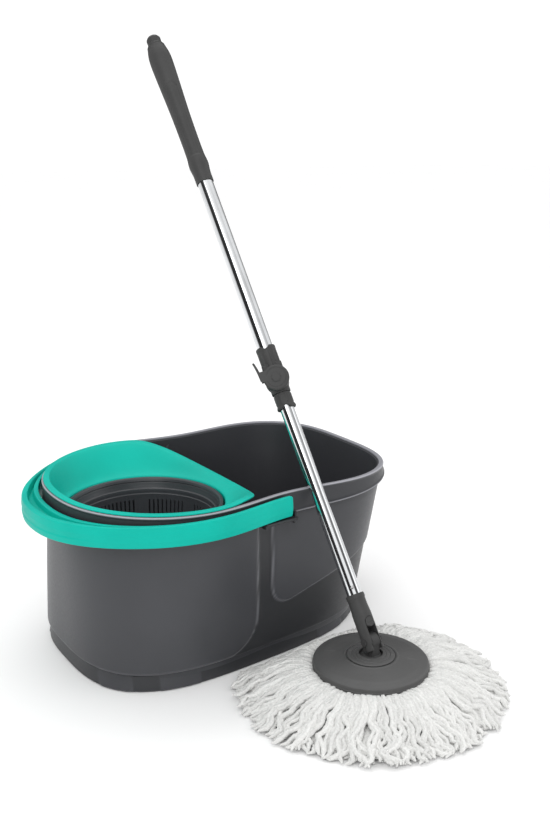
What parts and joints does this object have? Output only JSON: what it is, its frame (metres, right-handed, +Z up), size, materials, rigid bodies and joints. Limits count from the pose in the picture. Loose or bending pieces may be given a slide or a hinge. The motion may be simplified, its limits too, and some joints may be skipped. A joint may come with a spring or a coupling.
{
  "type": "spin mop",
  "caption": "Hand-press spin mop set: a two-lobed bucket with a wringing basket and bail handle, and a telescopic mop with a round fringed head resting on the bucket's rim.",
  "frame": {"origin": "on the floor under the middle of the bucket's flat base", "axes": "+Z up; +X along the bucket, from the basket towards the open tank; -Y towards the mop head, so +Y is the way the pole leans"},
  "size_m": [0.5038, 0.6796, 0.8229],
  "materials": {
    "teal_plastic": "satin-gloss moulded polypropylene",
    "bucket_plastic": "smooth satin moulded polypropylene",
    "basket_plastic": "satin moulded plastic",
    "mop_plastic": "fine-grained moulded plastic",
    "plate_plastic": "satin moulded plastic with fine rings",
    "chrome_tube": "bright drawn and polished steel tube",
    "steel": "plain drawn steel",
    "bush_brass": "turned brass",
    "nylon": "natural nylon",
    "microfibre": "looped microfibre yarn"
  },
  "bodies": {
    "bucket": {"bucket_shell": "bucket_plastic", "spindle_bush": "bush_brass", "basket_spindle": "steel", "spindle_nut": "nylon", "handle_pivot_front": "bucket_plastic", "handle_pivot_back": "bucket_plastic"},
    "insert": {"splash_insert": "teal_plastic"},
    "bail": {"bail_handle": "teal_plastic"},
    "basket": {"basket_bowl": "basket_plastic", "basket_rim_ring": "basket_plastic", "basket_floor": "basket_plastic", "basket_hub": "basket_plastic"},
    "pad": {"fringe_pad": "microfibre", "pad_ring": "nylon"},
    "head": {"mop_plate": "plate_plastic", "centre_cap": "plate_plastic", "hub_base": "plate_plastic", "hinge_knuckle": "mop_plastic"},
    "lower_pole": {"hinge_pin": "mop_plastic", "fork_socket": "mop_plastic", "lower_tube": "chrome_tube", "button_spring": "steel", "drive_nut": "nylon", "clutch_ring": "steel", "tube_bush": "nylon"},
    "button": {"snap_button": "steel"},
    "slider": {"guide_bush": "mop_plastic"},
    "upper_pole": {"upper_tube": "chrome_tube", "twisted_rod": "steel", "rod_anchor": "nylon", "hand_grip": "mop_plastic", "grip_cap": "mop_plastic", "lock_housing": "mop_plastic", "clamp_shoe": "nylon", "lock_pin": "mop_plastic"},
    "lever": {"lock_lever": "mop_plastic"}
  },
  "joints": [
    {"name": "insert_lift", "type": "slide", "parent": "bucket", "child": "insert", "axis": [0, 0, 1], "range_m": [0, 0.12]},
    {"name": "bail_swing", "type": "hinge", "parent": "bucket", "child": "bail", "pos_m": [0.02, 0, 0.219], "axis": [0, 1, 0], "range_deg": [0, 90]},
    {"name": "basket_spin", "type": "hinge", "parent": "bucket", "child": "basket", "pos_m": [-0.095, 0, 0.15], "axis": [0, 0, 1], "continuous": true},
    {"name": "mop_lift", "type": "slide", "parent": "bucket", "child": "pad", "axis": [0, 0, 1], "range_m": [0, 0.16]},
    {"name": "head_release", "type": "slide", "parent": "pad", "child": "head", "axis": [0, 0, 1], "range_m": [0, 0.03]},
    {"name": "pole_tilt", "type": "hinge", "parent": "head", "child": "lower_pole", "pos_m": [0.076, -0.282, 0.067], "axis": [0.9986, 0.0523, 0], "range_deg": [0, 113]},
    {"name": "pole_push", "type": "slide", "parent": "lower_pole", "child": "slider", "axis": [0.0291, -0.5553, -0.8312], "range_m": [-0.1, 0.09]},
    {"name": "pole_twist", "type": "hinge", "parent": "slider", "child": "upper_pole", "pos_m": [0.076, -0.282, 0.067], "axis": [-0.0291, 0.5553, 0.8312], "range_deg": [-300, 300]},
    {"name": "lever_flip", "type": "hinge", "parent": "upper_pole", "child": "lever", "pos_m": [0.06555, -0.08266, 0.36539], "axis": [-0.5372, -0.7099, 0.4555], "range_deg": [0, 90]},
    {"name": "button_press", "type": "slide", "parent": "lower_pole", "child": "button", "axis": [0.5372, 0.7099, -0.4555], "range_m": [0, 0.003], "stiffness_N_per_m": 600, "springref_m": -0.001}
  ],
  "couplings": [
    {"joint": "pole_twist", "follows": "pole_push", "rad_per_m": -52.36}
  ]
}
